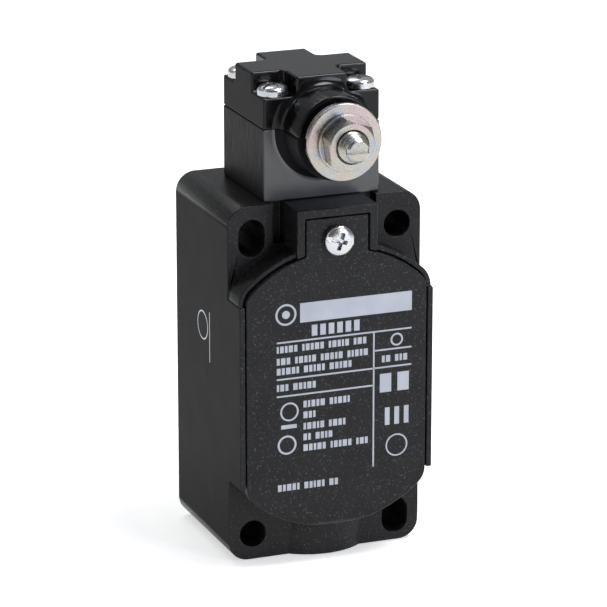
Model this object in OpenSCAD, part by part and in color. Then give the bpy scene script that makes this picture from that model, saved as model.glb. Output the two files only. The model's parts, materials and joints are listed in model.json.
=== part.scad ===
// Position switch with a plastic case and a rotary head, without its lever.
// X runs to the right seen from the front, Y to the back and Z up, all in millimetres.
// The origin lies on the mounting face, in the middle of the four fixing holes.

/* [Case] */
// Width of the case
case_w = 40; // [36:0.5:50]
// Height of the case
case_h = 71.7; // [64:0.1:88]
// Depth from the mounting face to the cover's face
case_d = 36; // [32:0.5:46]
// How far the fixing ears stand back behind the cover's face
ear_step = 6.6; // [5.6:0.1:8]
// Corner radius of the ears
ear_r = 4; // [2:0.5:4.5]
// Thickness of the back wall
back_wall = 3; // [2:0.25:4]

/* [Fixing holes] */
// Diameter of the round fixing holes and width of the slotted ones
hole_d = 5.3; // [4.3:0.1:6.4]
// Overall length of the slotted holes
slot_l = 7.3; // [6.5:0.1:8.5]
// Distance of the holes from the sides of the case
hole_side = 5; // [4.5:0.1:6]
// Distance of the upper holes from the top of the case
hole_top = 6.4; // [5:0.1:8]
// Distance of the lower holes from the bottom of the case
hole_bottom = 5.3; // [5:0.1:8]

/* [Cover] */
// Gap all round the cover
cover_gap = 0.25; // [0.2:0.05:0.4]
// Width of the case's rim beside the cover
rim_t = 1.1; // [1:0.05:2]
// Thickness of the cover's plate
plate_t = 2.3; // [1.8:0.1:2.6]
// Thickness of the cover's gasket
gasket_t = 0.7; // [0.5:0.05:1]
// Air between the closed cover and its gasket
gasket_air = 0.1; // [0.05:0.01:0.2]
// Radius of the cover's arched ends
arch_r = 26; // [24:0.5:34]
// Radius of the cover's corners
corner_r = 4; // [2:0.5:5]
// Distance from the case's top to the cover's upper arch
arch_top = 8.4; // [8:0.1:10]
// Distance from the case's bottom to the cover's lower arch
arch_bottom = 7.4; // [7:0.1:9]
// Width of the ledge that the gasket lies on
ledge_w = 2.6; // [2.2:0.1:3]
// Width of the cover's tab
tab_w = 12.8; // [10:0.2:15]
// Height of the frame above the tab
tab_frame_top = 1.7; // [1.2:0.1:3]
// Thickness of the frame beside the tab
tab_frame_t = 1.6; // [1.2:0.1:2.5]

/* [Conduit entry] */
// Radius of the entry's thread at its crests
entry_r = 9.2; // [8:0.1:10]
// Radius of the boss round the entry
boss_r = 12.4; // [11.4:0.1:13]
// Distance of the entry's axis from the mounting face
entry_y = 19.5; // [18:0.1:20]

/* [Head] */
// Width of the head
head_w = 23.8; // [22.4:0.2:30]
// Depth of the head
head_d = 22.2; // [21.4:0.2:28]
// How far the head stands back behind the cover's face
head_back = 8.2; // [7:0.1:9]
// Height from the case's top to the joint between base and cap
base_h = 14.2; // [13:0.1:20]
// Height of the cap
cap_h = 9.9; // [9.6:0.1:14]
// Depth of the cap's corner pockets below its top
pocket_h = 3.8; // [3:0.1:4.2]
// Width of the middle band between the pockets
band_w = 10.4; // [9:0.2:11.4]
// Depth of the cross band between the pockets
cross_d = 9.2; // [8:0.2:9.4]
// Distance of the head screws from the middle, to each side
screw_dx = 8.9; // [8.8:0.1:9.2]
// Distance of the head screws from the middle, to front and back
screw_dy = 8; // [7.6:0.1:8.4]
// Radius of the head screws' thread
screw_r = 1.5; // [1.2:0.05:1.6]
// Radius of the head screws' heads
screw_head_r = 2.95; // [2.4:0.05:3]

/* [Shaft] */
// Height of the shaft's axis above the case's top
shaft_h = 13.6; // [13:0.1:14.2]
// Radius of the shaft where it runs in the bush
shaft_r = 4; // [3.4:0.05:4.8]
// Radius of the shaft's threaded end
thread_r = 3; // [2.5:0.05:3.2]
// Radius of the boss round the shaft
shaft_boss_r = 8.3; // [7.6:0.1:9]
// Length of the boss in front of the head
shaft_boss_l = 8.4; // [7:0.1:10]
// Wall of the bush
bush_t = 1.6; // [1.2:0.1:2]
// Running clearance of everything that turns or slides, on the radius
run_gap = 0.04; // [0.02:0.01:0.08]
// How far the shaft turns to each side, in degrees
shaft_turn = 70; // [45:1:80]

/* [Lever clamp] */
// Radius of the serrated disc
disc_r = 7.4; // [6.6:0.1:8]
// Thickness of the serrated disc
disc_t = 1.1; // [0.9:0.1:1.6]
// Number of notches round the serrated disc
disc_notches = 4; // [3:1:8]
// Width of the notches
notch_w = 2; // [1.4:0.1:2.4]
// Radius of the clamp washer
washer_r = 7.55; // [6.6:0.05:8.4]
// Thickness of the clamp washer
washer_t = 1.1; // [0.8:0.1:1.6]
// Radius of the flat washer
flat_r = 5.6; // [5:0.1:6.2]
// Thickness of the flat washer
flat_t = 0.8; // [0.6:0.1:1.2]
// Width of the nut across its flats
nut_af = 9.2; // [9:0.1:11]
// Height of the nut
nut_h = 3; // [2.6:0.1:4]
// Length of thread past the nut
thread_out = 3.4; // [2.4:0.1:5]

/* [Works] */
// Radius of the cam's nose
cam_r = 5.4; // [5.2:0.05:5.6]
// Depth of the cam's flat below the shaft's axis
cam_flat = 3.6; // [3.5:0.05:3.8]
// Radius of the pusher's stem
pusher_r = 2.5; // [2:0.05:2.8]
// Radius of the pusher's head
pusher_head_r = 4.8; // [4:0.1:5.2]
// Width of the contact block
block_w = 29; // [27:0.2:30]
// Height of the contact block
block_h = 32; // [31:0.2:34]
// Depth of the contact block
block_d = 20; // [18:0.2:22]
// Radius of the contact plunger's stem
stem_r = 2; // [1.6:0.05:2.4]

/* [Hidden] */
$fn = 96;

far = 200;           // longer than any cut needs to be
ear_d = case_d - ear_step;

// places in height
hole_dx = case_w - 2 * hole_side;
hole_dz = case_h - hole_top - hole_bottom;
top_z = hole_dz / 2 + hole_top;
bottom_z = -hole_dz / 2 - hole_bottom;
shaft_z = top_z + shaft_h;
joint_z = top_z + base_h;
cap_z = joint_z + cap_h;
pocket_z = cap_z - pocket_h;

// the cover's outline: two arches, four corners and straight sides
cover_w = case_w - 2 * (rim_t + cover_gap);
arch_top_z = top_z - arch_top;
arch_bottom_z = bottom_z + arch_bottom;
corner_x = cover_w / 2 - corner_r;
corner_dz = sqrt(pow(arch_r - corner_r, 2) - corner_x * corner_x);
rim_top_z = arch_top_z - arch_r + corner_dz;
rim_bottom_z = arch_bottom_z + arch_r - corner_dz;

// places in depth, all from the mounting face at zero towards the front
ledge_d = case_d - plate_t - gasket_t - gasket_air;
wall_d = case_d - 0.9;
wall_t = 1;
wall_inset = 0.4;
frame_out = 0.1;
tab_top_z = top_z - tab_frame_top - cover_gap;
tab_play = 0.2;
frame_w = tab_w + 2 * (cover_gap + tab_frame_t);
frame_low_z = arch_top_z - 4;
relief_w = 2.3;
relief_d = 2.5;

// the cover's hinge line and its screw
hinge_d = case_d - plate_t / 2;
hinge_z = arch_bottom_z + plate_t / 2;
hinge_x = sqrt(arch_r * arch_r - pow(arch_r - plate_t / 2, 2)) + 0.5;
cover_screw_z = top_z - 6.3;
cover_screw_r = 1.75;
cover_head_r = 3;
cover_head_h = 1.9;
cover_screw_l = 5.4;
cover_screw_play = 0.3;
spigot_t = 1.2;
spigot_h = 1.5;

// the head: its middle lies on the pusher's axis
head_front = case_d - head_back;
head_rear = head_front - head_d;
mid_y = (head_front + head_rear) / 2;
boss_front = head_front + shaft_boss_l;
screw_head_h = 2.1;
screw_bite = 7;
screw_play = 0.25;
floor_t = 2.2;
chamber_w = 2 * (screw_dx - screw_r - screw_play - 0.8);
chamber_front = head_front - 4.2;
chamber_rear = head_rear + 3.8;
chamber_r = cam_r + 0.7;
passage_r = 5;
collar_r = passage_r - 0.2;
collar_h = 5;
head_gasket_r = 6.6;
head_gasket_w = 1.5;
head_gasket_h = 1;
pocket_round = 1.2;

// the shaft and what is clamped on it
seal_l = 2;
seal_r = shaft_r + bush_t + 0.6;
shoulder_d = boss_front + 1.2;
disc_front = shoulder_d + disc_t;
washer_front = disc_front + washer_t;
flat_front = washer_front + flat_t;
nut_front = flat_front + nut_h;
shaft_end = nut_front + thread_out;
thread_play = 0.05;
nut_turn = 20;
slot_w = 1;
slot_depth = 1.1;
notch_depth = 0.6;
tip_r = thread_r - 0.65;
tip_chamfer = 0.45;
tip_l = 0.5;
thread_past = 0.8;
rear_r = shaft_r - 1;
rear_end = head_rear + 1.5;
cam_w = 5;
cam_front = mid_y + cam_w / 2;
clip_t = 0.8;
clip_w = 1.5;
clip_d = mid_y - cam_w / 2 - 0.3 - clip_t;
groove_depth = 0.6;

// the pusher and the contact block
travel = cam_r - cam_flat;
pusher_top_z = shaft_z - cam_r - 0.3;
pusher_head_t = 1.2;
block_front = back_wall + block_d;
block_top_z = 15;
block_low_z = block_top_z - block_h;
stem_top_z = block_top_z + travel + 2;
touch_gap = 0.1;
pusher_low_z = stem_top_z + touch_gap;
pocket_w = 14.6;
pocket_top_z = 11;
pocket_rear = 9;
carrier_w = 6.6;
carrier_d = 8;
carrier_top_z = 4;
carrier_low_z = -4.5;
carrier_y = mid_y;
spring_seat_r = 2.2;
terminal_x = 10.3;
terminal_z = [8, -10];
terminal_screw_r = 1.6;
terminal_head_r = 2.9;
terminal_head_h = 1.8;
seat_w = 6.6;
seat_t = 1;
pocket_low_z = terminal_z[1] - seat_w / 2 - 0.3;
clamp_t = 0.9;
tongue_t = 0.8;
bridge_t = 0.8;
bridge_z = [3.2, -3.6];
bridge_w = 4;
rivet_r = 1.1;
rivet_h = 0.5;
tongue_away = (bridge_t + tongue_t) / 2 + 2 * rivet_h + touch_gap;
tongue_z = [bridge_z[0] + tongue_away, bridge_z[1] - tongue_away - travel];
block_screw_x = 11;
block_screw_z = -1;
block_screw_r = 1.25;
block_head_r = 2.4;
block_head_h = 1.6;
block_sink = 15;

case_black = "#2b2b2c";
gloss_black = "#1c1c1e";
zinc = "#c9c9cb";
spring_steel = "#9a9a9c";
rubber_black = "#161616";
brass_yellow = "#b99a52";
bronze_brown = "#8c6f4a";
nylon_white = "#d8d5c8";
silver_grey = "#d9d9dc";

// ---- shared shapes ----

// A flat outline, drawn as seen from the front, as a slab from depth d1 to depth d2
module slab(d1, d2) {
    translate([0, -d1, 0])
        rotate([90, 0, 0])
            linear_extrude(d2 - d1)
                children();
}

// A round bar along Y from depth d1 to depth d2 on the axis through x and z
module bar(r, d1, d2, x = 0, z = 0) {
    translate([x, -d1, z])
        rotate([90, 0, 0])
            cylinder(r = r, h = d2 - d1);
}

// A body of revolution about the line along Y through height z; the profile holds radius and depth
module turned(z, profile) {
    translate([0, 0, z])
        rotate([90, 0, 0])
            rotate_extrude()
                polygon(profile);
}

// A box between two corners
module box(low, high) {
    translate(low)
        cube(high - low);
}

// One arched end of the cover's outline, upwards
module arch(grow) {
    reach = 2 * arch_r;
    lean = corner_x / corner_dz;
    intersection() {
        circle(r = arch_r + grow);
        polygon([[0, 0], [reach * lean, reach], [-reach * lean, reach]]);
    }
    if (corner_r + grow > 0)
        for (side = [-1, 1])
            translate([side * corner_x, corner_dz])
                circle(r = corner_r + grow);
}

// The cover's outline without its tab, grown by a distance all round
module cover_outline(grow) {
    translate([-cover_w / 2 - grow, rim_bottom_z])
        square([cover_w + 2 * grow, rim_top_z - rim_bottom_z]);
    translate([0, arch_top_z - arch_r])
        arch(grow);
    translate([0, arch_bottom_z + arch_r])
        mirror([0, 1])
            arch(grow);
}

// The case's outline with round corners
module ear_outline() {
    w = case_w / 2;
    translate([-w + ear_r, bottom_z])
        square([case_w - 2 * ear_r, case_h]);
    translate([-w, bottom_z + ear_r])
        square([case_w, case_h - 2 * ear_r]);
    for (x = [-w + ear_r, w - ear_r], z = [bottom_z + ear_r, top_z - ear_r])
        translate([x, z])
            circle(r = ear_r);
}

// The part of an outline between two heights
module between(z1, z2) {
    intersection() {
        children();
        translate([-far / 2, z1])
            square([far, z2 - z1]);
    }
}

// A pan head with its shank, pointing up from a seat at the origin
module pan_screw(head_r, head_h, shank_r, shank_l) {
    edge = head_h * 0.45;
    difference() {
        union() {
            rotate_extrude()
                polygon([[0, 0], [head_r - 0.15, 0], [head_r, 0.15], [head_r, edge],
                    [head_r * 0.86, head_h * 0.82], [head_r * 0.6, head_h], [0, head_h]]);
            translate([0, 0, -shank_l])
                cylinder(r = shank_r, h = shank_l + 0.01);
        }
        for (turn = [0, 90])
            rotate([0, 0, turn])
                box([-head_r * 0.55, -0.4, head_h * 0.4], [head_r * 0.55, 0.4, head_h + 1]);
    }
}

// The same screw pointing to the front, with its seat at a depth
module front_screw(x, depth, z, head_r, head_h, shank_r, shank_l) {
    translate([x, -depth, z])
        rotate([90, 0, 0])
            pan_screw(head_r, head_h, shank_r, shank_l);
}

// Points of a ring of wire round one point of a coil that climbs along Z
function coil_ring(r, wire, turns, h, t, sides) =
    [for (k = [0:sides - 1])
        let (a = 360 * turns * t, b = 360 * k / sides, out = r + wire * cos(b))
            [out * cos(a), out * sin(a), h * t + wire * sin(b)]];

// A coil spring of round wire standing on the XY plane, with the wire's radius inside its height
module coil(r, wire, turns, h, sides = 8, steps = 16) {
    rings = ceil(turns * steps);
    climb = h - 2 * wire;
    points = [for (i = [0:rings]) each coil_ring(r, wire, turns, climb, i / rings, sides)];
    skin = [for (i = [0:rings - 1], k = [0:sides - 1])
        [i * sides + k, i * sides + (k + 1) % sides, (i + 1) * sides + (k + 1) % sides,
            (i + 1) * sides + k]];
    first = [for (k = [sides - 1:-1:0]) k];
    last = [for (k = [0:sides - 1]) rings * sides + k];
    translate([0, 0, wire])
        polyhedron(points, concat(skin, [first], [last]));
}

// Places of the four head screws
module at_head_screws(z) {
    for (x = [-screw_dx, screw_dx], y = [-screw_dy, screw_dy])
        translate([x, -mid_y + y, z])
            children();
}

// ---- case and cover ----

module fixing_holes() {
    for (x = [-1, 1], z = [-1, 1]) {
        slotted = x != z;
        half = slotted ? (slot_l - hole_d) / 2 : 0;
        for (end = [-half, half])
            bar(hole_d / 2, -1, case_d + 1, x * hole_dx / 2, z * hole_dz / 2 + end);
        if (slotted)
            translate([x * hole_dx / 2, 0, z * hole_dz / 2])
                box([-hole_d / 2, -case_d - 1, -half], [hole_d / 2, 1, half]);
    }
}

module case_body() {
    color(case_black)
        difference() {
            union() {
                slab(0, ear_d) ear_outline();
                slab(ear_d - 1, ledge_d) cover_outline(-wall_inset);
                slab(ear_d - 1, wall_d) between(rim_bottom_z, far) cover_outline(cover_gap + wall_t);
                slab(ear_d - 1, case_d)
                    translate([-case_w / 2, rim_bottom_z])
                        square([case_w, rim_top_z - rim_bottom_z]);
                box([-frame_w / 2, -case_d - frame_out, frame_low_z], [frame_w / 2, -ear_d + 1, top_z]);
                translate([0, -entry_y, bottom_z])
                    cylinder(r = boss_r, h = arch_bottom_z - bottom_z);
            }
            fixing_holes();
            // the cover's seat and its tab's pocket
            slab(ledge_d, case_d + 1) cover_outline(cover_gap);
            box([-tab_w / 2 - cover_gap, -case_d - 1, frame_low_z],
                [tab_w / 2 + cover_gap, -case_d + plate_t + tab_play, tab_top_z + cover_gap]);
            // the reliefs beside the tab's frame
            for (side = [-1, 1])
                translate([side * (frame_w + relief_w) / 2, 0, 0])
                    box([-relief_w / 2, -ear_d - 1, arch_top_z + 0.6],
                        [relief_w / 2, -ear_d + relief_d, top_z + 1]);
            // the wiring space, the pusher's passage and the conduit entry
            slab(back_wall, case_d) cover_outline(-ledge_w);
            translate([0, -mid_y, 0])
                cylinder(r = passage_r, h = top_z + 1);
            translate([0, -entry_y, bottom_z - 1])
                cylinder(r = entry_r, h = case_h / 2);
            // tapped holes for the screws of the head, cover and contact block
            at_head_screws(top_z - screw_bite)
                cylinder(r = screw_r, h = screw_bite + 1);
            bar(cover_screw_r + cover_screw_play, case_d - cover_screw_l - 1, case_d, 0, cover_screw_z);
            for (side = [-1, 1])
                bar(block_screw_r, back_wall - 1.8, back_wall + 1, side * block_screw_x, block_screw_z);
        }
}

module front_cover() {
    color(case_black)
        difference() {
            union() {
                slab(case_d - plate_t, case_d) {
                    cover_outline(0);
                    translate([-tab_w / 2, rim_top_z])
                        square([tab_w, tab_top_z - rim_top_z]);
                }
                slab(case_d - plate_t - spigot_h, case_d - plate_t)
                    difference() {
                        cover_outline(-ledge_w - cover_gap);
                        cover_outline(-ledge_w - cover_gap - spigot_t);
                    }
            }
            bar(cover_screw_r + run_gap, case_d - plate_t - 1, case_d + 1, 0, cover_screw_z);
            // the lower edge is rounded about the line that the cover swings on
            difference() {
                box([-hinge_x, -case_d - 1, arch_bottom_z - 1], [hinge_x, -case_d + plate_t + 1, hinge_z]);
                translate([-hinge_x - 1, -hinge_d, hinge_z])
                    rotate([0, 90, 0])
                        cylinder(r = plate_t / 2, h = 2 * hinge_x + 2);
            }
        }
}

module cover_gasket() {
    color(rubber_black)
        slab(ledge_d, ledge_d + gasket_t)
            difference() {
                cover_outline(-wall_inset - 0.1);
                cover_outline(-ledge_w + 0.1);
            }
}

module cover_screw() {
    color(zinc)
        front_screw(0, case_d, cover_screw_z, cover_head_r, cover_head_h, cover_screw_r, cover_screw_l);
}

// ---- contact block ----

module contact_block() {
    guide = stem_r + run_gap;
    color(nylon_white)
        difference() {
            box([-block_w / 2, -block_front, block_low_z], [block_w / 2, -back_wall, block_top_z]);
            box([-pocket_w / 2, -block_front - 1, pocket_low_z], [pocket_w / 2, -pocket_rear, pocket_top_z]);
            translate([0, -carrier_y, 0])
                cylinder(r = guide, h = far);
            for (side = [-1, 1]) {
                bar(block_screw_r + screw_play, 0, far, side * block_screw_x, block_screw_z);
                bar(block_head_r + screw_play, block_front - block_sink, far, side * block_screw_x,
                    block_screw_z);
                for (z = terminal_z)
                    bar(terminal_screw_r, block_front - 7, far, side * terminal_x, z);
            }
        }
}

module block_screws() {
    color(zinc)
        for (side = [-1, 1])
            front_screw(side * block_screw_x, block_front - block_sink, block_screw_z, block_head_r,
                block_head_h, block_screw_r, block_front - block_sink - back_wall + 1.6);
}

// A terminal plate on the block's face with a tongue that reaches into the pocket
module fixed_contact(side, z, tongue, face) {
    reach = pocket_w / 2 - 3.4;
    difference() {
        union() {
            translate([side * terminal_x, 0, z])
                box([-seat_w / 2, -block_front - seat_t, -seat_w / 2], [seat_w / 2, -block_front, seat_w / 2]);
            translate([side * (pocket_w / 2 - 0.1 - reach / 2), 0, 0])
                box([-reach / 2, -carrier_y - bridge_w / 2, tongue - tongue_t / 2],
                    [reach / 2, -carrier_y + bridge_w / 2, tongue + tongue_t / 2]);
            translate([side * (pocket_w / 2 - 0.5), 0, 0])
                box([-0.4, -block_front - seat_t, min(tongue - tongue_t / 2, z - seat_w / 2)],
                    [0.4, -carrier_y + bridge_w / 2, max(tongue + tongue_t / 2, z - seat_w / 2 + 1)]);
        }
        bar(terminal_screw_r + screw_play, 0, far, side * terminal_x, z);
    }
    translate([side * (pocket_w / 2 - reach + 0.9), -carrier_y, tongue + face * tongue_t / 2])
        mirror([0, 0, face < 0 ? 1 : 0])
            cylinder(r = rivet_r, h = rivet_h);
}

module fixed_contacts() {
    color(brass_yellow)
        for (side = [-1, 1], level = [0, 1])
            fixed_contact(side, terminal_z[level], tongue_z[level], level == 0 ? -1 : 1);
}

module terminal_clamps() {
    color(zinc)
        for (side = [-1, 1], z = terminal_z)
            difference() {
                translate([side * terminal_x, 0, z])
                    box([-seat_w / 2 + 0.2, -block_front - seat_t - clamp_t, -seat_w / 2 + 0.2],
                        [seat_w / 2 - 0.2, -block_front - seat_t, seat_w / 2 - 0.2]);
                bar(terminal_screw_r + screw_play, 0, far, side * terminal_x, z);
            }
}

module terminal_screws() {
    color(zinc)
        for (side = [-1, 1], z = terminal_z)
            front_screw(side * terminal_x, block_front + seat_t + clamp_t, z, terminal_head_r,
                terminal_head_h, terminal_screw_r, 8);
}

module contact_plunger() {
    color("#7a1f1c")
        translate([0, -carrier_y, 0])
            difference() {
                union() {
                    box([-carrier_w / 2, -carrier_d / 2, carrier_low_z],
                        [carrier_w / 2, carrier_d / 2, carrier_top_z]);
                    translate([0, 0, carrier_top_z - 0.01])
                        cylinder(r = stem_r, h = stem_top_z - carrier_top_z + 0.01);
                }
                for (z = bridge_z)
                    box([-far, -bridge_w / 2 - 0.1, z - bridge_t / 2 - 0.1],
                        [far, bridge_w / 2 + 0.1, z + bridge_t / 2 + 0.1]);
                box([-far, -bridge_w / 2 - 0.1, bridge_z[1]], [far, bridge_w / 2 + 0.1, bridge_z[0]]);
            }
}

module contact_bridges() {
    reach = pocket_w / 2 - 1.2;
    color(silver_grey)
        translate([0, -carrier_y, 0])
            for (level = [0, 1]) {
                z = bridge_z[level];
                out = level == 0 ? 1 : -1;
                box([-reach, -bridge_w / 2, z - bridge_t / 2], [reach, bridge_w / 2, z + bridge_t / 2]);
                for (side = [-1, 1])
                    translate([side * 4.8, 0, z + out * bridge_t / 2])
                        mirror([0, 0, out < 0 ? 1 : 0])
                            cylinder(r = rivet_r, h = rivet_h);
            }
}

module snap_spring() {
    low = bridge_z[1] + bridge_t / 2 + 0.1;
    high = bridge_z[0] - bridge_t / 2 - 0.1;
    color(spring_steel)
        translate([0, -carrier_y, low])
            coil(1.4, 0.2, 5, high - low, 6);
}

module contact_spring() {
    color(spring_steel)
        translate([0, -carrier_y, pocket_low_z])
            coil(spring_seat_r, 0.25, 6, carrier_low_z - pocket_low_z, 6);
}

// ---- head ----

// The head's outer shape: a block with a round boss to the front
module head_block() {
    box([-head_w / 2, -head_front, top_z], [head_w / 2, -head_rear, cap_z]);
    bar(shaft_boss_r, chamber_front, boss_front, 0, shaft_z);
}

// Everything that is hollow inside the closed head
module head_hollow() {
    box([-chamber_w / 2, -chamber_front, top_z + floor_t], [chamber_w / 2, -chamber_rear, shaft_z]);
    bar(chamber_r, chamber_rear, chamber_front, 0, shaft_z);
    bar(shaft_r + bush_t, chamber_rear, far, 0, shaft_z);
    bar(seal_r, boss_front - seal_l, far, 0, shaft_z);
    bar(rear_r + run_gap, rear_end - 0.3, chamber_rear + 1, 0, shaft_z);
    at_head_screws(top_z - 1)
        cylinder(r = screw_r + screw_play, h = far);
}

module head_base() {
    color(gloss_black) {
        difference() {
            intersection() {
                head_block();
                box([-far, -far, top_z], [far, far, joint_z]);
            }
            head_hollow();
            translate([0, -mid_y, top_z - 1]) {
                cylinder(r = pusher_r + run_gap, h = far);
                difference() {
                    cylinder(r = head_gasket_r + head_gasket_w, h = head_gasket_h + 1);
                    cylinder(r = head_gasket_r, h = head_gasket_h + 1);
                }
            }
        }
        translate([0, -mid_y, top_z - collar_h])
            difference() {
                cylinder(r = collar_r, h = collar_h);
                translate([0, 0, -1])
                    cylinder(r = pusher_r + run_gap, h = collar_h + 2);
            }
    }
}

// The hollow of one corner pocket, with a round inner corner
module pocket(side, way) {
    x1 = band_w / 2;
    y1 = cross_d / 2;
    translate([0, -mid_y, pocket_z])
        mirror([side < 0 ? 1 : 0, 0, 0])
            mirror([0, way < 0 ? 1 : 0, 0])
                linear_extrude(far) {
                    translate([x1 + pocket_round, y1])
                        square(far);
                    translate([x1, y1 + pocket_round])
                        square(far);
                    translate([x1 + pocket_round, y1 + pocket_round])
                        circle(r = pocket_round);
                }
}

module head_cap() {
    color(gloss_black)
        difference() {
            intersection() {
                head_block();
                box([-far, -far, joint_z], [far, far, cap_z]);
            }
            head_hollow();
            intersection() {
                for (side = [-1, 1], way = [-1, 1])
                    pocket(side, way);
                box([-far, -head_front - 0.01, pocket_z], [far, far, far]);
            }
        }
}

module head_gasket() {
    color(rubber_black)
        translate([0, -mid_y, top_z])
            difference() {
                cylinder(r = head_gasket_r + head_gasket_w - 0.05, h = head_gasket_h - 0.05);
                translate([0, 0, -1])
                    cylinder(r = head_gasket_r + 0.05, h = head_gasket_h + 2);
            }
}

module head_screws() {
    color(zinc)
        at_head_screws(pocket_z)
            pan_screw(screw_head_r, screw_head_h, screw_r, pocket_z - top_z + screw_bite - 0.3);
}

// ---- pusher ----

module pusher() {
    color(nylon_white)
        translate([0, -mid_y, 0]) {
            translate([0, 0, pusher_low_z])
                cylinder(r = pusher_r, h = pusher_top_z - pusher_low_z);
            translate([0, 0, pusher_top_z - pusher_head_t])
                cylinder(r = pusher_head_r, h = pusher_head_t);
        }
}

module pusher_spring() {
    color(spring_steel)
        translate([0, -mid_y, top_z + floor_t])
            coil(pusher_r + 1.1, 0.25, 3.5, pusher_top_z - pusher_head_t - top_z - floor_t);
}

module pusher_seal() {
    color(rubber_black)
        translate([0, -mid_y, top_z - collar_h - 1.6])
            difference() {
                cylinder(r = passage_r, h = 1.5);
                translate([0, 0, -1])
                    cylinder(r = pusher_r + run_gap, h = 4);
            }
}

// ---- shaft ----

module shaft_bush() {
    color(bronze_brown)
        difference() {
            bar(shaft_r + bush_t, chamber_front + 0.2, boss_front - seal_l, 0, shaft_z);
            bar(shaft_r + run_gap, 0, far, 0, shaft_z);
        }
}

module shaft_seal() {
    color(rubber_black)
        difference() {
            bar(seal_r, boss_front - seal_l, boss_front - 0.2, 0, shaft_z);
            bar(shaft_r + run_gap, 0, far, 0, shaft_z);
        }
}

module shaft() {
    groove = clip_d + clip_t;
    groove_r = rear_r - groove_depth;
    color(zinc)
        difference() {
            turned(shaft_z, [[0, rear_end], [rear_r, rear_end], [rear_r, clip_d], [groove_r, clip_d],
                [groove_r, groove], [rear_r, groove], [rear_r, cam_front], [shaft_r, cam_front],
                [shaft_r, shoulder_d], [thread_r, shoulder_d], [thread_r, nut_front + thread_past],
                [tip_r, shaft_end - tip_chamfer - tip_l], [tip_r, shaft_end - tip_chamfer],
                [tip_r - tip_chamfer, shaft_end], [0, shaft_end]]);
            box([-thread_r - 1, -shaft_end - 1, shaft_z - slot_w / 2],
                [thread_r + 1, -shaft_end + slot_depth, shaft_z + slot_w / 2]);
        }
}

module cam() {
    color(spring_steel)
        difference() {
            bar(cam_r, mid_y - cam_w / 2, cam_front, 0, shaft_z);
            bar(rear_r, 0, far, 0, shaft_z);
            box([-far, -far, 0], [far, 0, shaft_z - cam_flat]);
        }
}

module torsion_spring() {
    front = chamber_front - 0.2;
    back = cam_front + 0.2;
    color(spring_steel)
        translate([0, -back, shaft_z])
            rotate([90, 0, 0])
                coil(shaft_r + 0.75, 0.35, 4, front - back);
}

module circlip() {
    color(spring_steel)
        difference() {
            bar(rear_r - groove_depth + clip_w, clip_d, clip_d + clip_t, 0, shaft_z);
            bar(rear_r - groove_depth, 0, far, 0, shaft_z);
            box([-1.2, -far, shaft_z], [1.2, 0, shaft_z + far]);
        }
}

// A disc on the shaft's thread from depth d1 to depth d2
module thread_disc(r, d1, d2) {
    difference() {
        bar(r, d1, d2, 0, shaft_z);
        bar(thread_r + thread_play, 0, far, 0, shaft_z);
    }
}

module serrated_disc() {
    color(zinc)
        difference() {
            thread_disc(disc_r, shoulder_d, disc_front);
            for (k = [0:disc_notches - 1])
                translate([0, -shoulder_d, shaft_z])
                    rotate([0, k * 360 / disc_notches, 0])
                        box([-notch_w / 2, -disc_t - 1, disc_r - notch_depth],
                            [notch_w / 2, 1, disc_r + 1]);
        }
}

module clamp_washer() {
    color(zinc)
        thread_disc(washer_r, disc_front, washer_front);
}

module flat_washer() {
    color(zinc)
        thread_disc(flat_r, washer_front, flat_front);
}

module lever_nut() {
    corner = nut_af / 2 / cos(30);
    cut = 0.5;
    color(zinc)
        difference() {
            intersection() {
                translate([0, -flat_front, shaft_z])
                    rotate([90, nut_turn, 0])
                        cylinder(r = corner, h = nut_h, $fn = 6);
                turned(shaft_z, [[0, flat_front - 1], [corner + 1, flat_front - 1],
                    [corner + 1, nut_front - cut - 0.5], [nut_af / 2 - 0.1, nut_front], [0, nut_front]]);
            }
            bar(thread_r + thread_play, 0, far, 0, shaft_z);
        }
}

case_body();
front_cover();
cover_gasket();
cover_screw();
contact_block();
block_screws();
fixed_contacts();
terminal_clamps();
terminal_screws();
contact_plunger();
contact_bridges();
snap_spring();
contact_spring();
head_gasket();
head_base();
head_cap();
head_screws();
pusher();
pusher_spring();
pusher_seal();
shaft_bush();
shaft_seal();
shaft();
cam();
torsion_spring();
circlip();
serrated_disc();
clamp_washer();
flat_washer();
lever_nut();
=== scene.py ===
import json
import math

import bpy
import numpy as np
from mathutils import Matrix, Vector


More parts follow.
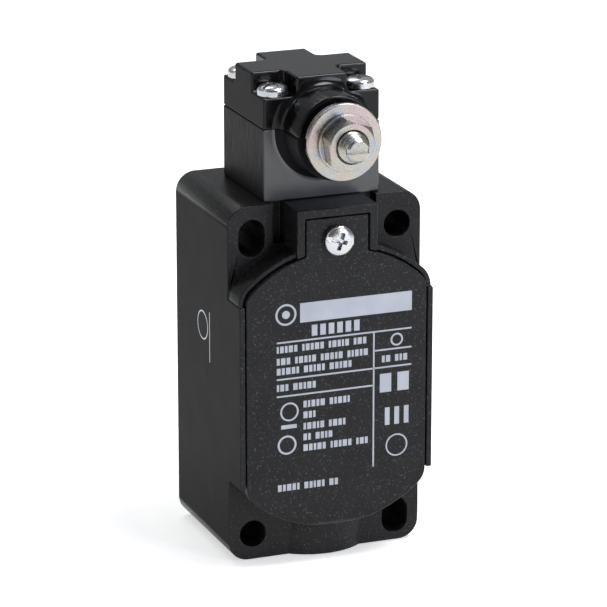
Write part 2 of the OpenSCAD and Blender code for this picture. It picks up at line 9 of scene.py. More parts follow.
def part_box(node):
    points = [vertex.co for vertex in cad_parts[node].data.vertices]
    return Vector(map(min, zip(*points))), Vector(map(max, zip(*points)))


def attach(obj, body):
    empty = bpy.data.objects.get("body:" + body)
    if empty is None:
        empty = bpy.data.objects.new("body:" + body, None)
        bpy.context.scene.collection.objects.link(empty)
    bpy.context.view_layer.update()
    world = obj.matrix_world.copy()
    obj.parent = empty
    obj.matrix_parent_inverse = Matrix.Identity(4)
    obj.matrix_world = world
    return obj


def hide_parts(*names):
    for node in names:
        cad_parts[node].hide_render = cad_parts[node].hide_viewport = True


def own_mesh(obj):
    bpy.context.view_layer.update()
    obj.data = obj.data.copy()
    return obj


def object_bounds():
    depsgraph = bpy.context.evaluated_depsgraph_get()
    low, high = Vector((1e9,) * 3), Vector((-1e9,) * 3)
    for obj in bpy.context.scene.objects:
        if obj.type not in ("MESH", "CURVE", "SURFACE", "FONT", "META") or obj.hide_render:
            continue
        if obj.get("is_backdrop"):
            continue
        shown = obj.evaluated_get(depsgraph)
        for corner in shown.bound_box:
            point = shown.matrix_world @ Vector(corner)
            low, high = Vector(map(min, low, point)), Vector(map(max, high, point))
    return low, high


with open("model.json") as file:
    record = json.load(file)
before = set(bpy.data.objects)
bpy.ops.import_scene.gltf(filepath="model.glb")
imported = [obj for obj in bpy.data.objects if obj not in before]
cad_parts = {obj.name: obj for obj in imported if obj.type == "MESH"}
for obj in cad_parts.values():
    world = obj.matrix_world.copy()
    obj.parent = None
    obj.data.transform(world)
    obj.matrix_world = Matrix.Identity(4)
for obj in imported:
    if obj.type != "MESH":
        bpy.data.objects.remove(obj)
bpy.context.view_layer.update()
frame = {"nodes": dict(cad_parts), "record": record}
nodes = frame["nodes"]
record = frame["record"]
mm = 0.001
print("frame loaded")


def quadGrid(rows, columns, closeRows=False, closeColumns=True):
    # quads between neighbouring rows and columns of a grid of points
    r, c = np.meshgrid(np.arange(rows if closeRows else rows - 1),
                       np.arange(columns if closeColumns else columns - 1), indexing="ij")
    r2, c2 = (r + 1) % rows, (c + 1) % columns
    corners = [r * columns + c, r * columns + c2, r2 * columns + c2, r2 * columns + c]
    return np.stack(corners, -1).reshape(-1, 4)


def stack(parts):
    # several point and face arrays as one
    points, faces, start = [], [], 0
    for p, f in parts:
        points.append(p)
        faces.append(f + start)
        start += len(p)
    return np.concatenate(points), np.concatenate(faces)


def welded(points, faces):
    # points that coincide become one, and quads that lose a corner become triangles
    first, back = np.unique(np.round(points, 8), axis=0, return_index=True, return_inverse=True)[1:]
    faces = back.reshape(-1)[faces]
    same = faces == np.roll(faces, -1, axis=1)
    quads = faces[~same.any(1)]
    corners = [np.delete(np.arange(4), k) for k in range(4)]
    tris = np.concatenate([faces[same[:, k] & (same.sum(1) == 1)][:, corners[k]] for k in range(4)])
    return points[first], quads, tris


def addPiece(name, points, faces, material, body, stands=(), sharp=38):
    points, quads, tris = welded(np.asarray(points, float), np.asarray(faces))
    split = np.concatenate([quads[:, [0, 1, 2]], quads[:, [0, 2, 3]], tris])
    a, b, c = (points[split[:, k]] for k in range(3))
    if (np.cross(a, b) * c).sum() < 0:  # the faces look inwards, so they are turned round
        quads, tris = quads[:, ::-1], tris[:, ::-1]
    mesh = bpy.data.meshes.new(name)
    mesh.from_pydata(points.tolist(), [], quads.tolist() + tris.tolist())
    mesh.update()
    mesh.shade_smooth()
    mesh.set_sharp_from_angle(angle=math.radians(sharp))
    mesh.materials.append(material)
    piece = bpy.data.objects.new(name, mesh)
    bpy.context.scene.collection.objects.link(piece)
    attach(piece, body)
    if stands:
        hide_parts(*stands)
    return piece


def aboutShaft(radius, angle, depth, height):
    # a point at a radius and angle about a line along Y, at a depth in front of the mounting face
    across, up = radius * np.cos(angle), height + radius * np.sin(angle)
    return np.stack([across, -depth + 0 * across, up], -1)


def turnedRing(profile, height, columns=144):
    # the closed profile of radius and depth, swept round a line along Y
    profile = np.asarray(profile, float)
    circle = np.linspace(0, 2 * np.pi, columns, endpoint=False)
    radius, angle = np.meshgrid(profile[:, 0], circle, indexing="ij")
    depth = np.repeat(profile[:, 1:2], columns, 1)
    return aboutShaft(radius, angle, depth, height).reshape(-1, 3), quadGrid(len(profile), columns, True)


def roundedCorner(centre, radius, start, end, steps=5):
    # points of an arc in the plane of radius and depth, angles in degrees
    a = np.radians(np.linspace(start, end, steps))
    return np.stack([centre[0] + radius * np.cos(a), centre[1] + radius * np.sin(a)], -1)


def linear(hexColour):
    # an sRGB hex colour as linear values
    c = np.array([int(hexColour[k:k + 2], 16) for k in (1, 3, 5)]) / 255
    return (*np.where(c <= 0.04045, c / 12.92, ((c + 0.055) / 1.055) ** 2.4), 1.0)


def addNode(material, kind, inputs=None, **settings):
    # one shader node with its settings and the sockets that feed it
    tree = material.node_tree
    node = tree.nodes.new("ShaderNode" + kind)
    for key, value in settings.items():
        setattr(node, key, value)
    for key, value in (inputs or {}).items():
        if isinstance(value, bpy.types.NodeSocket):
            tree.links.new(value, node.inputs[key])
        else:
            node.inputs[key].default_value = value
    return node


def ramp(material, value, stops):
    # a colour ramp from (place, hex colour) stops
    node = addNode(material, "ValToRGB", {"Fac": value})
    marks = node.color_ramp.elements
    marks[0].position, marks[0].color = stops[0][0], linear(stops[0][1])
    marks[1].position, marks[1].color = stops[-1][0], linear(stops[-1][1])
    for place, colour in stops[1:-1]:
        marks.new(place).color = linear(colour)
    return node.outputs["Color"]


def spread(material, value, low, high, fromLow=0.0, fromHigh=1.0):
    # a value spread over another range
    return addNode(material, "MapRange", {"Value": value, "From Min": fromLow, "From Max": fromHigh,
                                          "To Min": low, "To Max": high}).outputs["Result"]


def newMaterial(name):
    material = bpy.data.materials.new(name)
    material.use_nodes = True
    shader = material.node_tree.nodes["Principled BSDF"]
    place = addNode(material, "TexCoord").outputs["Object"]
    return material, shader, place


def noise(material, place, size, detail=2.0, rough=0.5):
    # noise whose grains are as large as the given real size
    return addNode(material, "TexNoise", {"Vector": place, "Scale": 1 / size, "Detail": detail,
                                          "Roughness": rough}).outputs["Fac"]


def join(material, socket, shader, name):
    material.node_tree.links.new(socket, shader.inputs[name])


def bumped(material, shader, height, distance, strength=1.0, under=None):
    feeds = {"Height": height, "Distance": distance, "Strength": strength}
    if under is not None:
        feeds["Normal"] = under
    bump = addNode(material, "Bump", feeds).outputs["Normal"]
    join(material, bump, shader, "Normal")
    return bump


def band(material, value, low, high):
    # one inside a range and nought outside it
    over = addNode(material, "Math", {0: value, 1: low}, operation="GREATER_THAN").outputs[0]
    under = addNode(material, "Math", {0: value, 1: high}, operation="LESS_THAN").outputs[0]
    return addNode(material, "Math", {0: over, 1: under}, operation="MULTIPLY").outputs[0]


# Black polyamide of the case: the eye sees a dull grain from the eroded mould with small glints painted in as
# pale specks, and smoother drawn flanks that carry a plain printed circle and bar
def makeCasePlastic():
    m, shader, place = newMaterial("black glass-filled polyamide")
    xyz = addNode(m, "SeparateXYZ", {"Vector": place}).outputs
    side = addNode(m, "Math", {0: xyz["X"]}, operation="ABSOLUTE").outputs[0]
    flank = spread(m, side, 0.0, 1.0, flankX - 0.06 * mm, flankX - 0.02 * mm)
    grain = noise(m, place, 0.35 * mm, 3.0, 0.65)
    cloud = noise(m, place, 6 * mm, 3.0)
    glintNoise = noise(m, place, 0.42 * mm, 1.0)
    dull = ramp(m, cloud, [(0.35, "#0b0b0c"), (0.65, "#131314")])
    # painted highlight: pale specks in the colour stand for small glints on the grain, and they stay off the
    # flanks
    light = spread(m, glintNoise, 0.0, 0.6, 0.6, 0.74)
    rim = addNode(m, "Math", {0: 1.0, 1: flank}, operation="SUBTRACT").outputs[0]
    light = addNode(m, "Math", {0: light, 1: rim}, operation="MULTIPLY").outputs[0]
    paintedGlints = addNode(m, "Mix", {"Factor": light, "A": dull, "B": linear("#4c4c4e")}, data_type="RGBA")
    # the circle and bar on the left flank, told by the distance from its middle
    mark = {"y": -15.2 * mm, "z": 9.3 * mm, "radius": 2.8 * mm, "width": 0.3 * mm, "bar": -3.9 * mm,
            "low": -6.6 * mm, "high": 3.6 * mm}
    centred = addNode(m, "Mapping", {"Vector": place, "Location": (0, -mark["y"], -mark["z"]),
                                     "Scale": (0, 1, 1)}).outputs["Vector"]
    yz = addNode(m, "SeparateXYZ", {"Vector": centred}).outputs
    far = addNode(m, "VectorMath", {0: centred}, operation="LENGTH").outputs["Value"]
    circle = band(m, far, mark["radius"] - mark["width"] / 2, mark["radius"] + mark["width"] / 2)
    bar = band(m, yz["Y"], mark["bar"] - mark["width"] / 2, mark["bar"] + mark["width"] / 2)
    reach = band(m, yz["Z"], mark["low"], mark["high"])
    bar = addNode(m, "Math", {0: bar, 1: reach}, operation="MULTIPLY").outputs[0]
    drawn = addNode(m, "Math", {0: circle, 1: bar}, operation="MAXIMUM").outputs[0]
    left = band(m, xyz["X"], -flankX - 0.1 * mm, -flankX + 0.05 * mm)
    drawn = addNode(m, "Math", {0: drawn, 1: left}, operation="MULTIPLY").outputs[0]
    inked = addNode(m, "Mix", {"Factor": drawn, "A": paintedGlints.outputs["Result"], "B": linear("#c4c8d0")},
                    data_type="RGBA")
    join(m, inked.outputs["Result"], shader, "Base Color")
    rough = spread(m, grain, 0.26, 0.46, 0.3, 0.7)
    calm = addNode(m, "Mix", {"Factor": flank, "A": rough, "B": 0.5}, data_type="FLOAT")
    join(m, calm.outputs["Result"], shader, "Roughness")
    strength = spread(m, flank, 0.8, 0.1)
    bump = addNode(m, "Bump", {"Height": grain, "Distance": 0.07 * mm, "Strength": strength})
    join(m, bump.outputs["Normal"], shader, "Normal")
    shader.inputs["IOR"].default_value = 1.53
    join(m, spread(m, flank, 0.2, 0.04), shader, "Specular IOR Level")
    return m


# Satin black plastic of the head's base: a soft sheen, and a painted reflection that makes the front face paler
# in broad patches
def makeBasePlastic():
    m, shader, place = newMaterial("satin black polyamide")
    cloud = noise(m, place, 9 * mm, 2.0, 0.4)
    fine = noise(m, place, 0.4 * mm, 3.0)
    streak = addNode(m, "Mapping", {"Vector": place, "Scale": (1, 1, 0.12)}).outputs["Vector"]
    drawn = noise(m, streak, 0.5 * mm, 2.0)
    # painted reflection: the front face is coloured paler, in broad patches, to stand for the reflection of the
    # front light
    paintedFrontSheen = ramp(m, cloud, [(0.42, "#1c1c20"), (0.5, "#2a2a2f"), (0.6, "#333339")])
    xyz = addNode(m, "SeparateXYZ", {"Vector": place}).outputs
    front = spread(m, xyz["Y"], 1.0, 0.0, -headFront - 0.05 * mm, -headFront + 0.3 * mm)
    below = band(m, xyz["Y"], -headFront - 0.1 * mm, 1.0)
    front = addNode(m, "Math", {0: front, 1: below}, operation="MULTIPLY").outputs[0]
    # the painted reflection colour goes on the front face only, and the rest keeps the plain dark colour
    plain = addNode(m, "Mix", {"Factor": front, "A": linear("#141416"), "B": paintedFrontSheen}, data_type="RGBA")
    join(m, plain.outputs["Result"], shader, "Base Color")
    rough = spread(m, drawn, 0.42, 0.56, 0.3, 0.7)
    satin = addNode(m, "Mix", {"Factor": front, "A": rough, "B": 0.3}, data_type="FLOAT")
    join(m, satin.outputs["Result"], shader, "Roughness")
    join(m, spread(m, front, 0.06, 1.0), shader, "Specular IOR Level")
    bumped(m, shader, fine, 0.012 * mm, 0.5)
    shader.inputs["IOR"].default_value = 1.53
    return m


# Glossy black plastic of the head's cap: deep black, sharp edge lights and slightly wavering reflections
def makeCapPlastic():
    m, shader, place = newMaterial("glossy black polyamide")
    cloud = noise(m, place, 7 * mm, 2.0)
    fine = noise(m, place, 0.6 * mm, 3.0)
    join(m, ramp(m, cloud, [(0.3, "#060607"), (0.7, "#0b0b0d")]), shader, "Base Color")
    xyz = addNode(m, "SeparateXYZ", {"Vector": place}).outputs
    side = addNode(m, "Math", {0: xyz["X"]}, operation="ABSOLUTE").outputs[0]
    flank = spread(m, side, 0.0, 1.0, headBox[1][0] - 0.12 * mm, headBox[1][0] - 0.04 * mm)
    gloss = spread(m, fine, 0.12, 0.22, 0.3, 0.7)
    satin = addNode(m, "Mix", {"Factor": flank, "A": gloss, "B": 0.5}, data_type="FLOAT")
    join(m, satin.outputs["Result"], shader, "Roughness")
    join(m, spread(m, flank, 0.22, 0.06), shader, "Specular IOR Level")
    wave = bumped(m, shader, cloud, 0.1 * mm, 0.3)
    bumped(m, shader, fine, 0.004 * mm, 0.5, wave)
    shader.inputs["IOR"].default_value = 1.53
    return m


# Zinc plate on steel: bright metal with turned marks and a faint pink and blue tint
def makeZinc(name, axis, centre):
    m, shader, place = newMaterial(name)
    ringPitch = 1.6 * mm
    shifted = addNode(m, "Mapping", {"Vector": place, "Location": [-c for c in centre]}).outputs["Vector"]
    rings = addNode(m, "TexWave", {"Vector": shifted, "Scale": 1 / ringPitch, "Distortion": 1.5,
                                   "Detail": 2.0, "Detail Scale": 1.0},
                    wave_type="RINGS", rings_direction=axis).outputs["Fac"]
    tint = noise(m, place, 5 * mm, 1.0)
    spots = noise(m, place, 0.4 * mm, 3.0)
    join(m, ramp(m, tint, [(0.36, "#9c9da3"), (0.5, "#a5a297"), (0.64, "#a99a98")]), shader, "Base Color")
    shader.inputs["Metallic"].default_value = 1.0
    join(m, spread(m, spots, 0.24, 0.34, 0.3, 0.7), shader, "Roughness")
    marks = bumped(m, shader, rings, 0.003 * mm, 0.3)
    bumped(m, shader, spots, 0.001 * mm, 0.5, marks)
    return m


# Any other plain substance: its colour wanders between two shades and its sheen varies in fine grains
def makePlain(name, dark, pale, roughness, metallic=0.0, grainSize=0.3, ior=1.5, relief=0.01):
    m, shader, place = newMaterial(name)
    cloud = noise(m, place, 4 * mm, 2.0)
    fine = noise(m, place, grainSize * mm, 3.0)
    join(m, ramp(m, cloud, [(0.33, dark), (0.67, pale)]), shader, "Base Color")
    join(m, spread(m, fine, roughness - 0.07, roughness + 0.07, 0.3, 0.7), shader, "Roughness")
    bumped(m, shader, fine, relief * mm, 0.6)
    shader.inputs["Metallic"].default_value = metallic
    if not metallic:
        shader.inputs["IOR"].default_value = ior
    return m


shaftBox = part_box("shaft")
axisZ = (shaftBox[0][2] + shaftBox[1][2]) / 2
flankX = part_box("case_body")[1][0]
headBox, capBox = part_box("head_base"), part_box("head_cap")
low = np.array([v.co for v in nodes["head_base"].data.vertices])
bossR = np.hypot(low[:, 0], low[:, 2] - axisZ)[low[:, 1] < headBox[0][1] + 0.01 * mm].max()
headFront = -low[low[:, 2] < axisZ - bossR - mm][:, 1].min()
casePlastic = makeCasePlastic()
basePlastic, capPlastic = makeBasePlastic(), makeCapPlastic()
turnedZinc = makeZinc("zinc plate turned about the shaft", "Y", (0, 0, axisZ))
screwZinc = makePlain("zinc plate on small screws", "#b7bac2", "#c6c4bd", 0.25, 1.0, 0.25, relief=0.001)
springSteel = makePlain("drawn spring steel", "#8f8f92", "#a9a9ab", 0.3, 1.0, 0.15)
blackRubber = makePlain("black nitrile rubber", "#0e0e0e", "#171717", 0.75, 0.0, 0.2)
stampedBrass = makePlain("stamped brass", "#b8964c", "#cfb06a", 0.3, 1.0, 0.3)
sinteredBronze = makePlain("sintered bronze", "#7d5a35", "#96704a", 0.5, 1.0, 0.12, relief=0.03)
silverPlate = makePlain("silver-plated copper", "#cfcfcc", "#e4e3df", 0.25, 1.0, 0.3)
ivoryPlastic = makePlain("ivory moulded plastic", "#cfc9b6", "#dcd7c6", 0.5, 0.0, 0.25)
redPlastic = makePlain("red-brown moulded plastic", "#6a1d19", "#7d2620", 0.45, 0.0, 0.25)
printInk = makePlain("white printing ink", "#a4a8b1", "#acb0b8", 0.6, 0.0, 0.2)
slotMaterials = {"case_plastic": casePlastic, "head_plastic": capPlastic, "zinc_steel": screwZinc,
                 "spring_steel": springSteel, "rubber_black": blackRubber, "terminal_brass": stampedBrass,
                 "bush_bronze": sinteredBronze, "contact_silver": silverPlate, "block_plastic": ivoryPlastic,
                 "plunger_plastic": redPlastic}
for part in record["subparts"]:
    data = nodes[part["node"]].data
    data.materials.clear()
    data.materials.append(slotMaterials[part["material_slot"]])
nodes["head_base"].data.materials[0] = basePlastic
print("materials made")


def softEdges(name, width, segments=3):
    # a moulded piece keeps its CAD shape: corners are joined, flat faces made whole and the edges rounded
    piece = nodes[name]
    weld = piece.modifiers.new("joined corners", "WELD")
    weld.merge_threshold = 0.001 * mm
    flat = piece.modifiers.new("whole faces", "DECIMATE")
    flat.decimate_type = "DISSOLVE"
    flat.angle_limit = math.radians(0.6)
    edge = piece.modifiers.new("soft edges", "BEVEL")
    edge.width = width
    edge.segments = segments
    edge.limit_method = "ANGLE"
    edge.angle_limit = math.radians(35)
    edge.use_clamp_overlap = False
    edge.harden_normals = True
    edge.miter_outer = "MITER_ARC"


mouldedEdges = {"case_body": 0.2 * mm, "front_cover": 0.25 * mm, "head_base": 0.28 * mm,
                "head_cap": 0.45 * mm, "contact_block": 0.2 * mm, "contact_plunger": 0.15 * mm,
                "fixed_contacts": 0.08 * mm, "terminal_clamps": 0.1 * mm, "contact_bridges": 0.1 * mm}
for name, width in mouldedEdges.items():
    softEdges(name, width)
print("edges softened")


def makeSweep(start, end, columns):
    # a hollow quarter circle swept part of the way round the boss: radius boss + w (1 - cos t), depth front +
    # w (1 - sin t), where the width w shrinks beside the screw pockets; both ends close on a point
    dims = {"boss": bossR, "width": 2.0 * mm, "least": 0.12 * mm, "floor": 6.5 * mm, "bandHalf": 5.0 * mm,
            "sunk": 0.06 * mm, "steps": 10}
    front = headFront
    angle = np.linspace(start, end, columns)
    sine, cosine = np.abs(np.sin(angle)), np.abs(np.cos(angle))
    room = np.maximum(dims["floor"] / np.maximum(sine, 1e-6), dims["bandHalf"] / np.maximum(cosine, 1e-6))
    room = np.where(np.sin(angle) > 0, room - dims["boss"], dims["width"])
    width = np.clip(room, dims["least"], dims["width"])
    width = np.convolve(np.pad(width, 4, "edge"), np.full(9, 1 / 9), "valid")
    t = np.linspace(0, np.pi / 2, dims["steps"])[:, None]
    radius = dims["boss"] + width * (1 - np.sin(t))
    depth = front + width * (1 - np.cos(t))
    radius = np.concatenate([radius, np.full((1, columns), dims["boss"] - dims["sunk"])])
    depth = np.concatenate([depth, depth[-1:]])
    radius = np.concatenate([radius, radius[-1:], radius[:1]])
    depth = np.concatenate([depth, np.full((2, columns), front - dims["sunk"])])
    rows = np.stack([radius, depth], -1)
    middle = rows.mean(0)[None]
    first, last = np.repeat(middle[:, :1], len(rows), 0), np.repeat(middle[:, -1:], len(rows), 0)
    rows = np.concatenate([first, rows, last], 1)
    angle = np.concatenate([[start], angle, [end]])[None, :] + 0 * rows[..., 0]
    points = aboutShaft(rows[..., 0], angle, rows[..., 1], axisZ)
    return points.reshape(-1, 3), quadGrid(len(rows), points.shape[1], True, False)


jointAngle = math.asin((capBox[0][2] - axisZ) / bossR)  # where the cap meets the base
jointGap = 0.004
rightEnd, leftEnd = jointAngle + jointGap, math.pi - jointAngle - jointGap
for name, start, end, material in (
        ("bossSweepUpper", rightEnd, leftEnd, capPlastic),
        ("bossSweepLower", leftEnd + 2 * jointGap, 2 * math.pi + rightEnd - 2 * jointGap, basePlastic)):
    points, faces = makeSweep(start, end, 96)
    addPiece(name, points, faces, material, "case")
print("sweep made")


discBox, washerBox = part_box("serrated_disc"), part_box("clamp_washer")
flatBox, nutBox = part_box("flat_washer"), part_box("lever_nut")
camBox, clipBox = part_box("cam"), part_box("circlip")
leverSeat = next(m for m in record["mounts"] if m["name"] == "lever_seat")
threadR = leverSeat["dims"]["r_mm"] * mm
boreR = threadR + 0.05 * mm
shaftR = (shaftBox[1][0] - shaftBox[0][0]) / 2


def makeShaft():
    # radius against depth, with a ridge that climbs one pitch a turn on the threaded length; round the slot
    # the columns close up on its two walls, and inside it every point goes back to the slot's floor
    dims = {"pitch": 0.75 * mm, "ridge": 0.32 * mm, "past": 0.8 * mm, "tip": 0.68 * mm, "chamfer": 0.45 * mm,
            "slot": 1.0 * mm, "slotDepth": 1.1 * mm, "groove": 0.6 * mm, "rows": 130, "land": 60, "gap": 9}
    rear, end = -shaftBox[1][1], -shaftBox[0][1]
    shoulder, nutFront = -discBox[1][1], -nutBox[0][1]
    clipRear, clipFront, camFront = -clipBox[1][1], -clipBox[0][1], -camBox[0][1]
    tipR, endR = threadR - dims["tip"], threadR - dims["tip"] - dims["chamfer"]
    grooveR = threadR - dims["groove"]
    plain = np.array([[0, rear], [threadR - 0.2 * mm, rear], [threadR, rear + 0.2 * mm], [threadR, clipRear],
                      [grooveR, clipRear], [grooveR, clipFront], [threadR, clipFront], [threadR, camFront],
                      [shaftR - 0.2 * mm, camFront], [shaftR, camFront + 0.2 * mm],
                      [shaftR, shoulder - 0.2 * mm], [shaftR - 0.2 * mm, shoulder]])
    depth = np.linspace(shoulder, end - dims["chamfer"], dims["rows"])
    floor = end - dims["slotDepth"]
    depth = np.sort(np.append(depth, [floor, floor + 1e-7]))
    tipFrom = end - dims["chamfer"] - 0.5 * mm
    cone = np.interp(depth, [nutFront + dims["past"], tipFrom], [threadR, tipR])
    radius = np.concatenate([plain[:, 0], cone, [endR]])
    depth = np.concatenate([plain[:, 1], depth, [end]])
    lead = np.arcsin(np.clip(dims["slot"] / 2 / np.maximum(radius, 1e-9), 0, 1))[:, None]
    inSlot = np.linspace(-1, 1, dims["gap"])[None, :] * lead
    onLand = lead + np.linspace(0, 1, dims["land"])[None, :] * (np.pi - 2 * lead)
    angle = np.concatenate([inSlot, onLand, np.pi + inSlot, np.pi + onLand], 1)
    sunk = np.zeros(angle.shape[1], bool)
    sunk[:dims["gap"]] = True
    sunk[dims["gap"] + dims["land"]:2 * dims["gap"] + dims["land"]] = True
    depth = np.repeat(depth[:, None], angle.shape[1], 1)
    radius = np.repeat(radius[:, None], angle.shape[1], 1)
    turn = depth / dims["pitch"] - angle / (2 * np.pi)
    saw = np.clip(1.25 * np.abs(2 * (turn - np.floor(turn)) - 1) - 0.1, 0, 1)
    threaded = (depth > shoulder + 0.3 * mm) & (depth < end - dims["chamfer"] - 1e-9)
    cut = np.interp(depth, [nutFront + dims["past"], tipFrom], [dims["ridge"], dims["ridge"] / 2])
    radius = np.where(threaded, radius - cut * saw, radius)
    depth = np.where(sunk[None, :], np.minimum(depth, floor), depth)
    points = aboutShaft(radius, angle, depth, axisZ)
    # the last row is the line across the middle of the slot, on its floor and at the tops of its two walls
    tall = np.where(sunk, endR * np.sin(angle[-1]), np.sign(np.sin(angle[-1])) * dims["slot"] / 2)
    line = np.stack([0 * tall, np.where(sunk, -floor, -end), axisZ + tall], -1)[None]
    points = np.concatenate([points, line])
    return points.reshape(-1, 3), quadGrid(len(points), angle.shape[1])


points, faces = makeShaft()
addPiece("shaftWithThread", points, faces, turnedZinc, "shaft", ["shaft"], sharp=32)


def makeDisc():
    # a flat ring whose outer radius steps in at the notches, with radial teeth on the face towards the head
    dims = {"teeth": 60, "perTooth": 10, "toothDepth": 0.16 * mm, "notches": 4, "notchWidth": 2.0 * mm,
            "notchDepth": 0.6 * mm, "edge": 0.12 * mm}
    back, front = -discBox[1][1], -discBox[0][1]
    outer = (discBox[1][2] - discBox[0][2]) / 2
    columns = dims["teeth"] * dims["perTooth"]
    angle = np.linspace(0, 2 * np.pi, columns, endpoint=False)
    tooth = np.abs(2 * ((angle * dims["teeth"] / (2 * np.pi)) % 1) - 1)
    across = (angle + np.pi / dims["notches"]) % (2 * np.pi / dims["notches"]) - np.pi / dims["notches"]
    notch = np.abs(np.sin(across)) * outer < dims["notchWidth"] / 2
    rim = np.where(notch, outer - dims["notchDepth"], outer)
    inner = np.full(columns, outer * 0.62)
    rows = [(np.full(columns, boreR), back + 0 * tooth), (inner, back + 0 * tooth),
            (inner + 0.2 * mm, back + dims["toothDepth"] * tooth),
            (rim - dims["edge"], back + dims["toothDepth"] * tooth),
            (rim, back + dims["edge"] + dims["toothDepth"] * tooth), (rim, front - dims["edge"] + 0 * tooth),
            (rim - dims["edge"], front + 0 * tooth), (np.full(columns, boreR), front + 0 * tooth)]
    points = [aboutShaft(r, angle, d, axisZ) for r, d in rows]
    return np.concatenate(points), quadGrid(len(rows), columns, True)


points, faces = makeDisc()
addPiece("serratedDisc", points, faces, turnedZinc, "shaft", ["serrated_disc"])


def makeWasher(box, edge, boreEdge):
    # a ring with rounded outer edges and a small chamfer at its bore
    back, front = -box[1][1], -box[0][1]
    outer = (box[1][0] - box[0][0]) / 2
    profile = np.concatenate([
        [[boreR, back], [outer - edge, back]],
        roundedCorner((outer - edge, back + edge), edge, -80, 0),
        roundedCorner((outer - edge, front - edge), edge, 0, 80),
        [[outer - edge, front], [boreR + boreEdge, front], [boreR, front - boreEdge]]])
    return turnedRing(profile, axisZ)


points, faces = makeWasher(washerBox, 0.25 * mm, 0.15 * mm)
addPiece("clampWasher", points, faces, turnedZinc, "shaft", ["clamp_washer"])
points, faces = makeWasher(flatBox, 0.15 * mm, 0.1 * mm)
addPiece("flatWasher", points, faces, turnedZinc, "shaft", ["flat_washer"])


def makeNut():
    # a six-sided prism whose corners are cut by a cone at both ends, which leaves an arc on each side face
    dims = {"perSide": 24, "coneFrom": 0.96, "slope": math.tan(math.radians(30)), "boreEdge": 0.35 * mm}
    corners = np.array([v.co for v in nodes["lever_nut"].data.vertices])
    across = np.hypot(corners[:, 0], corners[:, 2] - axisZ)
    cornerR = across.max()
    far = corners[np.argmax(np.where(np.abs(across - cornerR) < 1e-6, corners[:, 2], -1))]
    firstAngle = math.atan2(far[2] - axisZ, far[0])
    back, front = -nutBox[1][1], -nutBox[0][1]
    flatR = cornerR * math.cos(math.pi / 6)
    columns = 6 * dims["perSide"]
    angle = firstAngle + np.linspace(0, 2 * np.pi, columns, endpoint=False)
    inSide = (angle - firstAngle) % (np.pi / 3) - np.pi / 6
    outer = flatR / np.cos(inSide)
    coneR = np.full(columns, flatR * dims["coneFrom"])
    cut = (outer - coneR) * dims["slope"]
    bore, boreOut = np.full(columns, boreR), np.full(columns, boreR + dims["boreEdge"])
    flat = 0 * angle
    rows = [(bore, back + dims["boreEdge"] + flat), (boreOut, back + flat), (coneR, back + flat),
            (outer, back + cut), (outer, front - cut), (coneR, front + flat), (boreOut, front + flat),
            (bore, front - dims["boreEdge"] + flat)]
    points = [aboutShaft(r, angle, d, axisZ) for r, d in rows]
    return np.concatenate(points), quadGrid(len(rows), columns, True)


points, faces = makeNut()
addPiece("leverNut", points, faces, turnedZinc, "shaft", ["lever_nut"], sharp=25)
print("lever clamp made")


def panScrew(headR, headH, shankR, shankL, slotTurn):
    # a domed head on rows parallel to the slot, each row squeezed to fit the head's circle; the height falls
    # inside the slot and the tapering cross, and rings of the same outline run down to a ribbed shank
    dims = {"rows": 60, "columns": 60, "slot": 0.12 * headR, "slotDepth": 0.3 * headH, "cross": 0.11 * headR,
            "crossReach": 0.6 * headR, "crossDepth": 0.8 * headH, "soft": 0.03 * headR, "pitch": 0.6 * mm,
            "rim": 0.5, "ribbed": 5 * mm}
    lines = np.sin(np.linspace(-np.pi / 2, np.pi / 2, dims["rows"] + 1))
    extra = [side * (half + step * dims["soft"]) / headR for side in (-1, 1)
             for half in (dims["slot"], dims["cross"]) for step in (-0.5, 0.5)]
    lines = np.unique(np.round(np.append(lines, extra), 6))
    v, u = np.meshgrid(lines, lines, indexing="ij")
    x, y = headR * u * np.sqrt(np.clip(1 - v ** 2, 0, 1)), headR * v
    share = np.clip(np.hypot(x, y) / headR, 0, 1)
    dome = headH * (dims["rim"] + (1 - dims["rim"]) * np.sqrt(1 - share ** 3.2))

    def inside(value, half):
        return np.clip((half - np.abs(value)) / dims["soft"] + 0.5, 0, 1)

    slot = inside(y, dims["slot"]) * dims["slotDepth"]
    reach = np.clip(1 - np.maximum(np.abs(x), np.abs(y)) / dims["crossReach"], 0, 1)
    arms = np.maximum(inside(y, dims["cross"]), inside(x, dims["cross"]))
    cross = arms * dims["crossDepth"] * np.clip(reach * 3, 0, 1)
    top = np.minimum(dome, headH - np.maximum(slot, cross))
    sine, cosine = math.sin(slotTurn), math.cos(slotTurn)
    turned = [x * cosine - y * sine, x * sine + y * cosine]
    head = np.stack(turned + [np.maximum(top, 0.15 * headH)], -1)
    rim = np.concatenate([head[:, -1], head[-2:0:-1, 0]])  # the outline, once round
    angle = np.arctan2(rim[:, 1], rim[:, 0])[None, :]
    ribbed = np.arange(max(shankL - dims["ribbed"], 0), shankL, dims["pitch"] / 6)
    turns = np.unique(np.append(ribbed, 0))[:, None]
    ridge = shankR - 0.12 * shankR * np.abs(2 * ((turns / dims["pitch"] - angle / (2 * np.pi)) % 1) - 1)
    soft = 0.06 * headH
    level = np.concatenate([[soft], [0], -turns[:, 0], [-shankL, -shankL]])[:, None] + 0 * angle
    radius = np.concatenate([np.full_like(angle, headR), np.full_like(angle, headR - soft), ridge,
                             np.full_like(angle, 0.8 * shankR), 0 * angle])
    below = np.stack([radius * np.cos(angle), radius * np.sin(angle), level], -1)
    below = np.concatenate([rim[None], below])
    return stack([(head.reshape(-1, 3), quadGrid(len(lines), len(lines), False, False)),
                  (below.reshape(-1, 3), quadGrid(len(below), rim.shape[0])[:, ::-1])])


